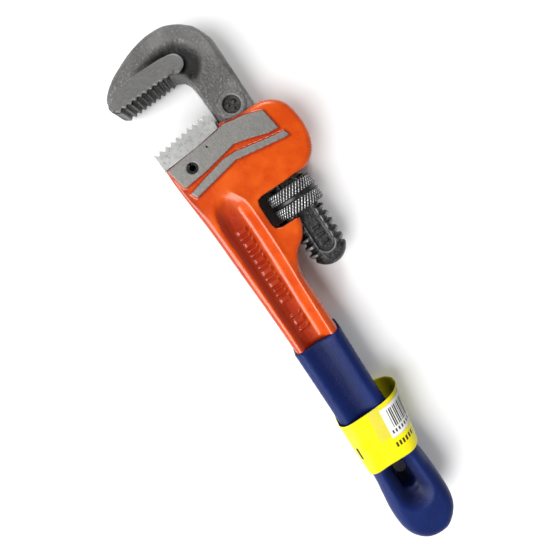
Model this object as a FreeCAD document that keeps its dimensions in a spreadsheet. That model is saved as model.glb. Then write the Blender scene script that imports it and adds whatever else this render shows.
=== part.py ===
import FreeCAD, Part
import math
import os

V = FreeCAD.Vector

# Pipe wrench lying on its side. Drawing frame: origin at the adjusting nut's centre,
# +X along the shank towards the hook jaw, +Y towards the jaw mouth, +Z out of the front face.
# Every sub-part is then placed so that the whole wrench stands on the floor plane.
SIZES = {
    "headhalf": 9.5,
    "handlehalf": 8.0,
    "flathalf": 10.4,
    "channelhalf": 7.3,
    "channellow": -10.0,
    "channelhigh": 12.2,
    "shankhalf": 6.3,
    "bosshalf": 6.9,
    "hookhalf": 8.0,
    "heelhalf": 10.0,
    "tonguehalf": 4.4,
    "slothalf": 4.6,
    "threadradius": 8.9,
    "rootradius": 7.2,
    "pitch": 3.84,
    "flankgap": 0.2,
    "nutradius": 11.2,
    "nutlow": -6.2,
    "nuthigh": 6.0,
    "nutwaist": 10.3,
    "pinradius": 2.4,
    "pinbore": 1.35,
    "pinhalf": 10.1,
    "pinx": 33.4,
    "piny": 30.0,
    "coat": 1.2,
    "coilradius": 2.3,
    "wireradius": 0.45,
    "bandskin": 0.35,
    "labelskin": 0.15,
    "edgeround": 2.2,
    "gripround": 3.4,
    "shiftx": 30.2,
    "shifty": -13.72,
    "shiftz": 11.2,
}

doc = FreeCAD.newDocument("pipe_wrench")


def make_sheet():
    sheet = doc.addObject("Spreadsheet::Sheet", "Sizes")
    for number, (name, value) in enumerate(SIZES.items(), start=1):
        cell = "B%d" % number
        sheet.set("A%d" % number, name)
        sheet.set(cell, str(value))
        sheet.setAlias(cell, name)
    doc.recompute()


def bind(feature, prop, expression):
    feature.setExpression(prop, expression)


def size(name):
    return "Sizes." + name


def make_body(name):
    return doc.addObject("PartDesign::Body", name)


def plane(body, role):
    return next(item for item in body.Origin.OriginFeatures if item.Role == role)


def make_sketch(body, name, role="XY_Plane", height=0.0):
    sketch = body.newObject("Sketcher::SketchObject", name)
    sketch.AttachmentSupport = [(plane(body, role), "")]
    sketch.MapMode = "FlatFace"
    sketch.AttachmentOffset = FreeCAD.Placement(V(0, 0, height), FreeCAD.Rotation())
    return sketch


def line_direction(run, chord):
    # Direction of a neighbouring line that a curve should leave smoothly, else nothing.
    if len(run) != 2:
        return None
    direction = (V(*run[1], 0) - V(*run[0], 0)).normalize()
    return direction if math.degrees(direction.getAngle(chord)) < 12 else None


def smooth_curve(points, before, after):
    # Curve through the points, tangent to both neighbouring lines if it continues them.
    first = line_direction(before, points[1] - points[0])
    last = line_direction(after, points[-1] - points[-2])
    curve = Part.BSplineCurve()
    if first and last:
        curve.interpolate(Points=points, InitialTangent=first, FinalTangent=last)
    else:
        curve.interpolate(points)
    return curve


def add_runs(sketch, runs):
    # Closed outline from runs that share their end points: two points make a line, three
    # an arc, more one smooth curve.
    for index, run in enumerate(runs):
        points = [V(x, y, 0) for x, y in run]
        if len(points) == 2:
            geometry = Part.LineSegment(points[0], points[1])
        elif len(points) == 3:
            geometry = Part.Arc(*points)
        else:
            geometry = smooth_curve(points, runs[index - 1], runs[(index + 1) % len(runs)])
        sketch.addGeometry(geometry, False)


def add_polygon(sketch, corners):
    closed = corners + corners[:1]
    add_runs(sketch, [closed[i:i + 2] for i in range(len(corners))])


def add_box(sketch, low_x, low_y, high_x, high_y):
    add_polygon(sketch, [(low_x, low_y), (high_x, low_y), (high_x, high_y), (low_x, high_y)])


def add_circle(sketch, x, y, radius):
    circle = Part.Circle(V(x, y, 0), V(0, 0, 1), radius)
    return sketch.addGeometry(circle, False)


def add_slot(sketch, x_low, x_high, y, radius):
    low = V(x_low, y, 0)
    high = V(x_high, y, 0)
    side = V(0, radius, 0)
    up = V(0, 0, 1)
    sketch.addGeometry(Part.LineSegment(low - side, high - side), False)
    sketch.addGeometry(Part.LineSegment(high + side, low + side), False)
    turn = math.pi / 2
    sketch.addGeometry(Part.ArcOfCircle(Part.Circle(high, up, radius), -turn, turn), False)
    sketch.addGeometry(Part.ArcOfCircle(Part.Circle(low, up, radius), turn, 3 * turn), False)


def make_pad(body, name, sketch, half=None, length=None):
    pad = body.newObject("PartDesign::Pad", name)
    pad.Profile = sketch
    if half is not None:
        pad.Midplane = True
        bind(pad, "Length", "2 * " + half)
    else:
        bind(pad, "Length", length)
    return pad


def make_pocket(body, name, sketch, half=None, length=None, reverse=False):
    pocket = body.newObject("PartDesign::Pocket", name)
    pocket.Profile = sketch
    pocket.Reversed = reverse
    if half is not None:
        pocket.Midplane = True
        bind(pocket, "Length", "2 * " + half)
    elif length is not None:
        bind(pocket, "Length", length)
    else:
        pocket.Type = "ThroughAll"
        pocket.Midplane = True
    return pocket


def cut_wedges(body, name, line, outside=30.0):
    # Thins the body on both faces, above the side-view line and below its mirror image.
    for side, sign in (("front", 1), ("back", -1)):
        sketch = make_sketch(body, name + "_" + side + "_sketch", "XZ_Plane")
        corners = [(x, sign * z) for x, z in line]
        corners += [(line[-1][0], sign * outside), (line[0][0], sign * outside)]
        add_polygon(sketch, corners)
        make_pocket(body, name + "_" + side, sketch)
    doc.recompute()


def round_rims(body, name, radius, keep):
    # Rounds the rim edges of the front and back faces for which keep(midpoint) holds.
    tip = body.Tip
    names = []
    for number, edge in enumerate(tip.Shape.Edges, start=1):
        middle = edge.valueAt((edge.FirstParameter + edge.LastParameter) / 2)
        faces = tip.Shape.ancestorsOfType(edge, Part.Face)
        flat = [abs(face.normalAt(0, 0).z) > 0.9 for face in faces]
        if any(flat) and not all(flat) and keep(middle):
            names.append("Edge%d" % number)
    fillet = body.newObject("PartDesign::Fillet", name)
    fillet.Base = (tip, names)
    bind(fillet, "Radius", radius)
    doc.recompute()
    return fillet


# ---------------------------------------------------------------- handle and housing casting

MOUTH_SIDE = [(38.0, 40.4), (-57.9, 36.1)]
BUTT_TOP = [(-57.9, 36.1), (-117.0, 35.9)]
BUTT = [(-117.0, 35.9), (-127.0, 36.7), (-135.5, 37.5), (-143.0, 37.0), (-148.0, 34.6),
        (-151.4, 30.5), (-152.3, 26.0), (-151.4, 21.0), (-148.0, 17.0), (-142.6, 14.8),
        (-135.3, 14.3), (-127.0, 14.9), (-116.0, 15.9)]
BUTT_FOOT = [(-116.0, 15.9), (-35.2, 15.6)]
NUT_SIDE = [(-35.2, 15.6), (-27.1, 15.3), (-22.1, 13.2), (-18.6, 9.8)]
SHELF_EDGE = [(-18.6, 9.8), (-15.7, 6.6), (-11.8, 4.3), (-7.2, 3.0)]
STRAP_FOOT = [(8.0, -6.0), (12.01, -15.69), (21.7, -19.7)]
STRAP_HEAD = [(28.5, -19.7), (38.4, -15.6), (42.5, -5.7)]
STRAP_TOP = [(42.5, -5.7), (42.5, 10.6)]
SHOULDER = [(41.2, 12.6), (39.3, 26.6), (38.0, 40.4)]
WINDOW_CORNERS = [(-7.2, 3.0), (8.0, 3.0), (8.0, -6.0)]
WINDOW = [[(-7.2, -30.0), (8.0, -30.0)], [(8.0, -30.0), (8.1, 12.2)],
          [(8.1, 12.2), (7.3, 14.5), (5.0, 15.2)], [(5.0, 15.2), (-4.2, 15.2)],
          [(-4.2, 15.2), (-6.4, 14.3), (-7.2, 12.0)], [(-7.2, 12.0), (-7.2, -30.0)]]
WIDE_FLAT = [(38.0, 39.2), (28.6, 37.3), (27.9, 36.0), (29.2, 25.4), (31.6, 14.1),
             (32.5, 10.1), (30.8, 3.0), (28.5, -4.3), (28.1, -9.0), (37.8, -7.6),
             (40.7, 1.3), (41.9, 9.8), (41.2, 12.6), (39.3, 26.6)]
THIN_FLAT = [(24.8, 36.3), (21.9, 34.8), (24.1, 24.3), (26.4, 13.0), (25.2, 4.1),
             (23.5, -7.1), (23.1, -11.2), (25.9, -10.3), (27.4, -0.7), (29.6, 11.0),
             (29.6, 17.2), (27.4, 27.1)]
WEB = [(18.2, 9.9), (23.6, 5.1), (30.4, 5.1), (35.6, 9.9)]
WEB_HEAD, WEB_LENGTH = 9.0, "115"
HANG_LOW, HANG_HIGH, HANG_MIDDLE, HANG_RADIUS = -127.9, -120.8, 25.8, 2.8


def casting_outline():
    return [MOUTH_SIDE, BUTT_TOP, BUTT, BUTT_FOOT, NUT_SIDE, SHELF_EDGE,
            WINDOW_CORNERS[:2], WINDOW_CORNERS[1:], STRAP_FOOT,
            [STRAP_FOOT[-1], STRAP_HEAD[0]], STRAP_HEAD, STRAP_TOP,
            [STRAP_TOP[-1], SHOULDER[0]], SHOULDER[:2], SHOULDER[1:]]


def round_casting(body):
    # The bearing shoulder and the window's foot stay sharp.
    def on_outside(point):
        beside_window = point.y < 5 and -20 < point.x < 7.9
        on_shoulder = point.x > 37 and point.y > 5
        on_web = -109 < point.x < 17.5 and 17 < point.y < 35.9
        return not (beside_window or on_shoulder or on_web)
    round_rims(body, "rim_round", size("edgeround"), on_outside)


def cut_channel(body):
    channel = make_sketch(body, "channel_sketch", "YZ_Plane")
    add_box(channel, SIZES["channellow"], -SIZES["channelhalf"],
            SIZES["channelhigh"], SIZES["channelhalf"])
    make_pocket(body, "channel", channel)
    bay = make_sketch(body, "spring_bay_sketch")
    add_polygon(bay, [(13.0, -9.0), (14.5, -15.4), (34.0, -15.4), (38.5, -9.0)])
    make_pocket(body, "spring_bay", bay, half="4.5")
    window = make_sketch(body, "window_sketch")
    add_runs(window, WINDOW)
    make_pocket(body, "window", window)
    doc.recompute()


def cut_heel_seat(body):
    slot = make_sketch(body, "heel_slot_sketch")
    add_box(slot, 24.0, 15.0, 60.0, 50.0)
    make_pocket(body, "heel_slot", slot, half=size("slothalf"))
    hole = make_sketch(body, "pin_hole_sketch")
    add_circle(hole, SIZES["pinx"], SIZES["piny"], SIZES["pinradius"])
    make_pocket(body, "pin_hole", hole)
    doc.recompute()


def cut_spring_pocket(body):
    pocket = make_sketch(body, "coil_pocket_sketch", "XZ_Plane", -18.5)
    add_circle(pocket, -13.0, 0.0, SIZES["coilradius"] + 2 * SIZES["wireradius"])
    make_pocket(body, "coil_pocket", pocket, length="8", reverse=True)
    doc.recompute()


def cut_web(body):
    # Panel with sloping sides, sunk along both faces of the handle.
    for side, sign in (("front", 1), ("back", -1)):
        web = make_sketch(body, "web_" + side + "_sketch", "YZ_Plane", WEB_HEAD)
        add_polygon(web, [(y, sign * z) for y, z in WEB])
        make_pocket(body, "web_" + side, web, length=WEB_LENGTH)
        doc.recompute()


def add_raised_marks(body):
    # Plain raised blocks stand in for the raised lettering on the web floor.
    for side, sign in (("front", 1), ("back", -1)):
        marks = make_sketch(body, "marks_" + side + "_sketch", height=sign * 4.6)
        for index in range(9):
            low = 2.0 - 4.2 * index - 3.0
            add_box(marks, low, 24.9, low + 3.0, 28.9)
        for index in range(2):
            low = -43.5 - 4.2 * index
            add_box(marks, low, 24.9, low + 3.0, 28.9)
        pad = make_pad(body, "marks_" + side, marks, length="1.1")
        pad.Reversed = sign < 0
        doc.recompute()


def make_casting():
    body = make_body("handle_housing")
    outline = make_sketch(body, "casting_sketch")
    add_runs(outline, casting_outline())
    make_pad(body, "casting", outline, half=size("headhalf"))
    doc.recompute()
    cut_wedges(body, "handle_taper", [(-160.0, 7.7), (-58.0, 8.0), (-8.0, 9.5)])
    cut_web(body)
    round_casting(body)
    for name, corners in (("wide_flat", WIDE_FLAT), ("thin_flat", THIN_FLAT)):
        flat = make_sketch(body, name + "_sketch")
        add_polygon(flat, corners)
        make_pad(body, name, flat, half=size("flathalf"))
    doc.recompute()
    cut_channel(body)
    cut_heel_seat(body)
    cut_spring_pocket(body)
    add_raised_marks(body)
    eye = make_sketch(body, "hang_eye_sketch")
    add_slot(eye, HANG_LOW, HANG_HIGH, HANG_MIDDLE, HANG_RADIUS + SIZES["coat"])
    make_pocket(body, "hang_eye", eye)
    doc.recompute()
    return body


# ---------------------------------------------------------------- dipped grip

GRIP_OUTLINE = [
    [(-56.3, 37.3), (-117.0, 37.1)],
    [(-117.0, 37.1), (-127.0, 37.9), (-135.5, 38.8), (-143.6, 38.3), (-149.0, 35.7),
     (-152.7, 31.2), (-153.6, 26.0), (-152.7, 20.4), (-148.8, 16.0), (-142.9, 13.6),
     (-135.3, 13.0), (-126.9, 13.6), (-116.0, 14.7)],
    [(-116.0, 14.7), (-56.3, 14.4)],
    [(-56.3, 14.4), (-56.3, 37.3)]]
GRIP_WEB = [(19.6, 10.1), (24.0, 6.3), (30.0, 6.3), (34.2, 10.1)]


def make_grip_core():
    # The handle end inside the dip: the casting's own lines, taper, web and eye.
    body = make_body("grip_core")
    outline = make_sketch(body, "grip_core_sketch")
    add_runs(outline, [[(-50.0, 36.454), (-57.9, 36.1)], BUTT_TOP, BUTT,
                       [BUTT[-1], (-50.0, 15.655)], [(-50.0, 15.655), (-50.0, 36.454)]])
    make_pad(body, "grip_core_pad", outline, half=size("headhalf"))
    doc.recompute()
    cut_wedges(body, "grip_core_taper", [(-160.0, 7.7), (-58.0, 8.0), (-40.0, 8.54)])
    round_rims(body, "grip_core_round", size("edgeround"), lambda point: point.x < -50.5)
    for side, sign in (("front", 1), ("back", -1)):
        web = make_sketch(body, "grip_core_web_" + side + "_sketch", "YZ_Plane", -40.0)
        add_polygon(web, [(y, sign * z) for y, z in WEB])
        make_pocket(body, "grip_core_web_" + side, web, length="66")
        doc.recompute()
    eye = make_sketch(body, "grip_core_eye_sketch")
    add_slot(eye, HANG_LOW, HANG_HIGH, HANG_MIDDLE, HANG_RADIUS + SIZES["coat"])
    make_pocket(body, "grip_core_eye", eye)
    doc.recompute()
    return body


def make_grip():
    body = make_body("grip_blank")
    outline = make_sketch(body, "grip_sketch")
    add_runs(outline, GRIP_OUTLINE)
    make_pad(body, "grip", outline, half="(%s + %s)" % (size("handlehalf"), size("coat")))
    doc.recompute()
    cut_wedges(body, "grip_taper", [(-160.0, 8.9), (-50.0, 9.25)])
    round_rims(body, "grip_round", size("gripround"), lambda point: point.x < -56.5)
    for side, sign in (("front", 1), ("back", -1)):
        web = make_sketch(body, "grip_web_" + side + "_sketch", "YZ_Plane", -50.0)
        add_polygon(web, [(y, sign * z) for y, z in GRIP_WEB])
        make_pocket(body, "grip_web_" + side, web, length="55")
        doc.recompute()
    eye = make_sketch(body, "grip_eye_sketch")
    add_slot(eye, HANG_LOW, HANG_HIGH, HANG_MIDDLE, HANG_RADIUS)
    make_pocket(body, "grip_eye", eye)
    doc.recompute()
    sleeve = doc.addObject("Part::Cut", "grip_sleeve")
    sleeve.Base = body
    sleeve.Tool = make_grip_core()
    doc.recompute()
    return sleeve


# ---------------------------------------------------------------- hook jaw

HOOK_BACK = [(60.0, -7.1), (74.1, -6.8), (79.5, -5.7), (84.7, -3.2), (88.6, 0.6),
             (91.6, 5.6), (92.9, 10.4), (93.1, 16.0), (92.3, 21.3), (90.6, 27.0),
             (88.2, 32.7), (85.4, 38.0), (82.2, 42.8), (79.0, 45.6), (75.6, 47.0),
             (72.6, 46.8)]
HOOK_TIP = [(72.6, 46.8), (70.4, 44.6), (69.5, 42.6)]
HOOK_THROAT = [(70.6, 18.6), (71.6, 17.0), (71.1, 14.9), (69.6, 12.9), (67.1, 11.6),
               (63.5, 11.1), (60.0, 10.6)]
TOOTH_STEP = 2.93


def hook_teeth():
    # Nine grooves with narrow flat crests; the line leans 1.5 mm over its length.
    points = []
    for index in range(9):
        y = 42.6 - index * TOOTH_STEP * 0.91
        x = 69.5 + index * 0.14
        points += [(x, y), (x, y - 0.35), (x + 1.35, y - 1.5)]
    points += [(70.7, 42.6 - 9 * TOOTH_STEP * 0.91), HOOK_THROAT[0]]
    return points


def cut_thread(body, groove_half_root, groove_half_rim, root, rim, start, height):
    # One helical groove about the X axis; the profile is a trapezoid that narrows inwards.
    sketch = make_sketch(body, "groove_sketch")
    add_polygon(sketch, [(start - groove_half_root, root), (start + groove_half_root, root),
                         (start + groove_half_rim, rim), (start - groove_half_rim, rim)])
    groove = body.newObject("PartDesign::SubtractiveHelix", "thread")
    groove.Profile = sketch
    groove.ReferenceAxis = (sketch, ["H_Axis"])
    groove.Mode = "pitch-height-angle"
    groove.Angle = 0.0
    bind(groove, "Pitch", size("pitch"))
    bind(groove, "Height", height)
    doc.recompute()


def make_shank(body):
    # Round threaded bar, then flattened front and back.
    radius = SIZES["threadradius"]
    end = -33.8
    bar = make_sketch(body, "shank_sketch")
    nose = Part.Circle(V(end + radius, 0, 0), V(0, 0, 1), radius)
    bar.addGeometry(Part.ArcOfCircle(nose, math.pi / 2, math.pi), False)
    add_runs(bar, [[(end + radius, radius), (30.0, radius)], [(30.0, radius), (30.0, 0.0)],
                   [(30.0, 0.0), (end, 0.0)]])
    turned = body.newObject("PartDesign::Revolution", "shank")
    turned.Profile = bar
    turned.ReferenceAxis = (bar, ["H_Axis"])
    turned.Angle = 360.0
    doc.recompute()
    cut_thread(body, 0.65, 1.50, SIZES["rootradius"], 9.3, -1.5 - 9 * SIZES["pitch"],
               "16.5 * " + size("pitch"))
    cut_wedges(body, "shank_flat", [(-40.0, SIZES["shankhalf"]), (40.0, SIZES["shankhalf"])])


def make_head(body):
    upper = make_sketch(body, "upper_shank_sketch")
    add_polygon(upper, [(27.0, -7.1), (62.0, -7.1), (62.0, 10.5), (27.0, 10.3)])
    make_pad(body, "upper_shank", upper, half=size("shankhalf"))
    doc.recompute()
    head = make_sketch(body, "head_sketch")
    teeth = hook_teeth()
    runs = [HOOK_BACK, HOOK_TIP]
    runs += [teeth[i:i + 2] for i in range(len(teeth) - 1)]
    runs += [HOOK_THROAT, [HOOK_THROAT[-1], HOOK_BACK[0]]]
    add_runs(head, runs)
    make_pad(body, "head", head, half=size("hookhalf"))
    doc.recompute()
    cut_wedges(body, "neck", [(20.0, SIZES["bosshalf"]), (59.0, SIZES["bosshalf"]),
                              (60.0, 6.5), (62.0, 6.5), (68.0, 8.0)])


def add_hook_details(body):
    for side, sign in (("front", 1), ("back", -1)):
        dish = make_sketch(body, "hook_dish_" + side + "_sketch", height=sign * 8.1)
        add_runs(dish, [[(80.9, 38.0), (81.4, 29.1), (83.4, 19.3), (84.0, 11.2), (82.4, 5.8),
                         (77.9, 2.6), (72.5, 2.0), (67.8, 4.0), (66.2, 8.5)],
                        [(66.2, 8.5), (70.6, 12.2)],
                        [(70.6, 12.2), (72.3, 9.4), (75.4, 8.4), (78.4, 9.8), (79.9, 12.8),
                         (80.3, 20.1), (80.0, 30.3), (79.4, 38.0)],
                        [(79.4, 38.0), (80.9, 38.0)]])
        make_pocket(body, "hook_dish_" + side, dish, length="1.1", reverse=(sign < 0))
        doc.recompute()
        boss = make_sketch(body, "boss_" + side + "_sketch", height=sign * 6.0)
        add_circle(boss, 47.8, 1.6, 6.0)
        add_circle(boss, 47.8, 1.6, 4.2)
        ring = make_pad(body, "boss_" + side, boss, length="(%s - 6)" % size("bosshalf"))
        ring.Reversed = sign < 0
        doc.recompute()
        panel = make_sketch(body, "panel_" + side + "_sketch", height=sign * 6.3)
        add_slot(panel, -23.2, 12.0, 0.0, 3.9)
        make_pocket(body, "panel_" + side, panel, length="0.9", reverse=(sign < 0))
        doc.recompute()
        ticks = make_sketch(body, "ticks_" + side + "_sketch", height=sign * 5.2)
        for x in (-22.0, -18.6, -15.2):
            add_box(ticks, x - 0.6, -1.7, x + 0.6, 1.7)
        pad = make_pad(body, "ticks_" + side, ticks, length="0.75")
        pad.Reversed = sign < 0
        doc.recompute()


def make_hook_jaw():
    body = make_body("hook_jaw")
    make_shank(body)
    make_head(body)
    add_hook_details(body)
    return body


# ---------------------------------------------------------------- heel jaw and its pin

def heel_teeth():
    # Ten saw teeth; the steep flank faces the mouth, the line leans 3.3 mm over its length.
    points = []
    for index in range(10):
        y = 41.0 - index * 2.92
        x = 46.8 + index * 0.345
        points += [(x, y), (x - 1.75, y - 0.95)]
    return points


def make_heel_jaw():
    body = make_body("heel_jaw")
    head = make_sketch(body, "heel_head_sketch")
    corners = heel_teeth()
    corners += [(48.6, 12.6), (45.0, 12.4), (41.5, 12.8), (39.6, 26.6), (38.3, 40.2)]
    add_polygon(head, corners)
    make_pad(body, "heel_head", head, half=size("heelhalf"))
    doc.recompute()
    tongue = make_sketch(body, "heel_tongue_sketch")
    add_polygon(tongue, [(24.6, 15.6), (44.0, 15.6), (44.0, 39.0), (38.3, 40.2), (24.6, 38.9)])
    make_pad(body, "heel_tongue", tongue, half=size("tonguehalf"))
    doc.recompute()
    hole = make_sketch(body, "heel_hole_sketch")
    add_circle(hole, SIZES["pinx"], SIZES["piny"], SIZES["pinradius"])
    make_pocket(body, "heel_hole", hole)
    doc.recompute()
    return body


def make_pin():
    # Slotted hollow spring pin through both housing walls and the tongue.
    body = make_body("heel_jaw_pin")
    ring = make_sketch(body, "pin_sketch")
    middle = V(SIZES["pinx"], SIZES["piny"], 0)
    outer = Part.Circle(middle, V(0, 0, 1), SIZES["pinradius"])
    inner = Part.Circle(middle, V(0, 0, 1), SIZES["pinbore"])
    start = math.radians(12)
    stop = math.radians(348)
    arcs = [Part.ArcOfCircle(circle, start, stop) for circle in (outer, inner)]
    for arc in arcs:
        ring.addGeometry(arc, False)
    ring.addGeometry(Part.LineSegment(arcs[0].StartPoint, arcs[1].StartPoint), False)
    ring.addGeometry(Part.LineSegment(arcs[0].EndPoint, arcs[1].EndPoint), False)
    make_pad(body, "pin", ring, half=size("pinhalf"))
    doc.recompute()
    return body


# ---------------------------------------------------------------- adjusting nut

def make_nut():
    body = make_body("adjusting_nut")
    low, high = SIZES["nutlow"], SIZES["nuthigh"]
    rim, waist = SIZES["nutradius"], SIZES["nutwaist"]
    bore = SIZES["rootradius"] + 0.25
    ring = make_sketch(body, "nut_sketch")
    add_polygon(ring, [(low, bore), (high, bore), (high, rim - 0.7), (high - 0.7, rim),
                       (1.2, rim), (0.8, waist), (-0.8, waist), (-1.2, rim),
                       (low + 0.7, rim), (low, rim - 0.7)])
    turned = body.newObject("PartDesign::Revolution", "nut")
    turned.Profile = ring
    turned.ReferenceAxis = (ring, ["H_Axis"])
    turned.Angle = 360.0
    doc.recompute()
    # The nut's groove clears the shank's crest, half a pitch away from the shank's groove.
    crest_root = SIZES["pitch"] / 2 - 0.65 + SIZES["flankgap"]
    crest_rim = SIZES["pitch"] / 2 - 1.50 + SIZES["flankgap"]
    start = -1.5 - 3.5 * SIZES["pitch"]
    cut_thread(body, crest_root, crest_rim, SIZES["rootradius"], 9.3, start,
               "7 * " + size("pitch"))
    return body


# ---------------------------------------------------------------- springs

def make_flat_spring():
    # Bowed leaf between the strap's back wall and the shank.
    body = make_body("flat_spring")
    leaf = make_sketch(body, "leaf_sketch")
    inner = [(15.6, -13.1), (20.0, -10.7), (25.5, -9.7), (31.0, -10.4), (35.0, -12.3)]
    outer = [(35.0, -13.1), (31.0, -11.2), (25.5, -10.5), (20.0, -11.5), (15.6, -13.9)]
    add_runs(leaf, [inner, [inner[-1], outer[0]], outer, [outer[-1], inner[0]]])
    make_pad(body, "leaf", leaf, half="3.8")
    doc.recompute()
    return body


def make_coil_spring():
    # Small compression spring standing across the shelf, its axis along Y.
    height = 7.6
    wire = SIZES["wireradius"]
    radius = SIZES["coilradius"]
    helix = Part.makeHelix(height / 6, height, radius)
    section = Part.Wire(Part.makeCircle(wire, V(radius, 0, 0), V(0, 1, 0)))
    coil = Part.Wire(helix).makePipeShell([section], True, True)
    coil.rotate(V(0, 0, 0), V(1, 0, 0), -90)
    coil.translate(V(-13.0, 10.3, 0))
    item = doc.addObject("Part::Feature", "coil_spring")
    item.Shape = Part.makeCompound([coil])
    return item


# ---------------------------------------------------------------- shop tag

BAND_TOP = [(37.6, 3.5), (37.2, 7.2), (34.4, 9.4), (28.0, 9.6), (20.5, 9.5), (14.5, 8.7),
            (10.0, 6.4), (7.6, 2.6)]
BAND_FOOT = [(37.6, 3.5), (37.2, 7.2), (34.4, 9.4), (28.5, 9.5), (22.5, 9.5), (17.2, 9.2),
             (13.8, 6.6), (12.4, 2.6)]
BAND_X_TOP, BAND_X_FOOT = -91.5, -115.0
BAND_OUTSIDE = 37.7


def band_wire(x, half, grow):
    # Closed loop at station x: a front half and its mirror image, moved outwards by grow.
    mirrored = [(y, -z) for y, z in reversed(half)]
    around = mirrored[-1:] + half + mirrored[:1]
    moved = []
    for before, point, after in zip(around, around[1:], around[2:]):
        along = V(0, after[0] - before[0], after[1] - before[1]).normalize()
        normal = V(0, along.z, -along.y)
        moved.append(V(x, point[0], point[1]) + normal * grow)
    start = V(x, BAND_OUTSIDE + grow, 0)
    end = V(x, half[-1][0] - 0.25 - grow, 0)
    halves = []
    for sign in (1, -1):
        curve = Part.BSplineCurve()
        points = [start] + [V(x, p.y, sign * p.z) for p in moved] + [end]
        curve.interpolate(Points=points, InitialTangent=V(0, 0, sign),
                          FinalTangent=V(0, 0, -sign))
        halves.append(curve.toShape())
    return Part.Wire(halves)


def band_solid(grow, x_top=BAND_X_TOP, x_foot=BAND_X_FOOT):
    return Part.makeLoft([band_wire(x_top, BAND_TOP, grow),
                          band_wire(x_foot, BAND_FOOT, grow)], True, True)


def make_band():
    item = doc.addObject("Part::Feature", "tag_band")
    item.Shape = band_solid(SIZES["bandskin"]).cut(band_solid(0.0))
    return item


def make_label():
    face = SIZES["bandskin"]
    skin = band_solid(face + SIZES["labelskin"]).cut(band_solid(face))
    patch = Part.makeBox(15.0, 16.0, 12.0, V(-108.0, 3.0, -1.5))
    item = doc.addObject("Part::Feature", "tag_label")
    item.Shape = skin.common(patch)
    return item


# ---------------------------------------------------------------- assembly and export

def place_and_export(items):
    os.makedirs("parts", exist_ok=True)
    shift = V(SIZES["shiftx"], SIZES["shifty"], SIZES["shiftz"])
    for item in items:
        item.Label = item.Name
        item.Placement = FreeCAD.Placement(shift, FreeCAD.Rotation())
    doc.recompute()
    for item in doc.Objects:
        if "Invalid" in item.State or "Error" in item.State:
            raise RuntimeError("broken feature: " + item.Name)
    for item in items:
        shape = item.Shape
        if shape.isNull() or not shape.isValid() or len(shape.Solids) != 1:
            raise RuntimeError("bad shape: %s, %d solids" % (item.Name, len(shape.Solids)))
        shape.exportStep("parts/" + item.Name + ".step")
        box = shape.BoundBox
        print("%s %.1f mm3, x %.2f..%.2f y %.2f..%.2f z %.2f..%.2f" % (
            item.Name, shape.Volume, box.XMin, box.XMax, box.YMin, box.YMax,
            box.ZMin, box.ZMax))


make_sheet()
housing = make_casting()
place_and_export([housing, make_grip(), make_hook_jaw(), make_nut(), make_heel_jaw(),
                  make_pin(), make_flat_spring(), make_coil_spring(), make_band(),
                  make_label()])
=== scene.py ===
"""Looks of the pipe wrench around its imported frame. Lengths in the piece builders are
millimetres in the drawing frame (origin at the adjusting nut's centre, +X towards the hook
jaw, +Y towards the mouth, +Z out of the front face); make_mesh turns them into row metres."""

import bpy
import numpy as np
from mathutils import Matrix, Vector


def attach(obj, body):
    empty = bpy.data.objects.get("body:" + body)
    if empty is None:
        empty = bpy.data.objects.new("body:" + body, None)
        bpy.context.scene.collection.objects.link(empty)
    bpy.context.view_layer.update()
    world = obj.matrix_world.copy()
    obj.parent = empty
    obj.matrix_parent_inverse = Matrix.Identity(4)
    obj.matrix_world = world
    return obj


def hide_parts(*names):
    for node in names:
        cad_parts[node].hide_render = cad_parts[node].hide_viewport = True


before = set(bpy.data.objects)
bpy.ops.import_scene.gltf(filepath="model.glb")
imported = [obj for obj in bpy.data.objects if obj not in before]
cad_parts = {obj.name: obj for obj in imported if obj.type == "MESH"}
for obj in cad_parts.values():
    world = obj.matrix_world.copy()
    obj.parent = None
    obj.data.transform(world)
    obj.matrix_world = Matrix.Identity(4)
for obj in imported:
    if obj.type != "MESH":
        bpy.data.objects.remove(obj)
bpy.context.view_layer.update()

SHIFT = np.array([30.2, -13.72, 11.2])
MM = 0.001
PITCH = 3.84
THREAD_R = 8.9
ROOT_R = 7.2


# ------------------------------------------------------------------ field helpers

def ramp(value, low, high):
    t = np.clip((value - low) / (high - low), 0.0, 1.0)
    return t * t * (3.0 - 2.0 * t)


def catmull(points, samples=8):
    pts = np.array(points, float)
    ends = np.vstack([2 * pts[0] - pts[1], pts, 2 * pts[-1] - pts[-2]])
    out = []
    for i in range(len(pts) - 1):
        p0, p1, p2, p3 = ends[i:i + 4]
        t = np.linspace(0, 1, samples, endpoint=False)[:, None]
        out.append(0.5 * (2 * p1 + (p2 - p0) * t + (2 * p0 - 5 * p1 + 4 * p2 - p3) * t ** 2
                          + (3 * p1 - p0 - 3 * p2 + p3) * t ** 3))
    out.append(pts[-1:])
    return np.vstack(out)


def outline(runs):
    parts = [np.array(run, float) if len(run) == 2 else catmull(run) for run in runs]
    return np.vstack([part[:-1] for part in parts])


def closed_curve(points, samples=8):
    return catmull(list(points) + [points[0]], samples)[:-1]


def distance(x, y, poly):
    """Signed distance to a closed polygon, negative inside."""
    poly = np.asarray(poly, float)
    best = np.full(x.shape, 1e9)
    inside = np.zeros(x.shape, bool)
    for (ax, ay), (bx, by) in zip(poly, np.roll(poly, -1, axis=0)):
        ex, ey = bx - ax, by - ay
        t = np.clip(((x - ax) * ex + (y - ay) * ey) / (ex * ex + ey * ey + 1e-12), 0, 1)
        best = np.minimum(best, (x - ax - t * ex) ** 2 + (y - ay - t * ey) ** 2)
        if ay != by:
            crosses = (ay > y) != (by > y)
            inside ^= crosses & (x < ax + (y - ay) * ex / ey)
    best = np.sqrt(best)
    return np.where(inside, -best, best)


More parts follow.
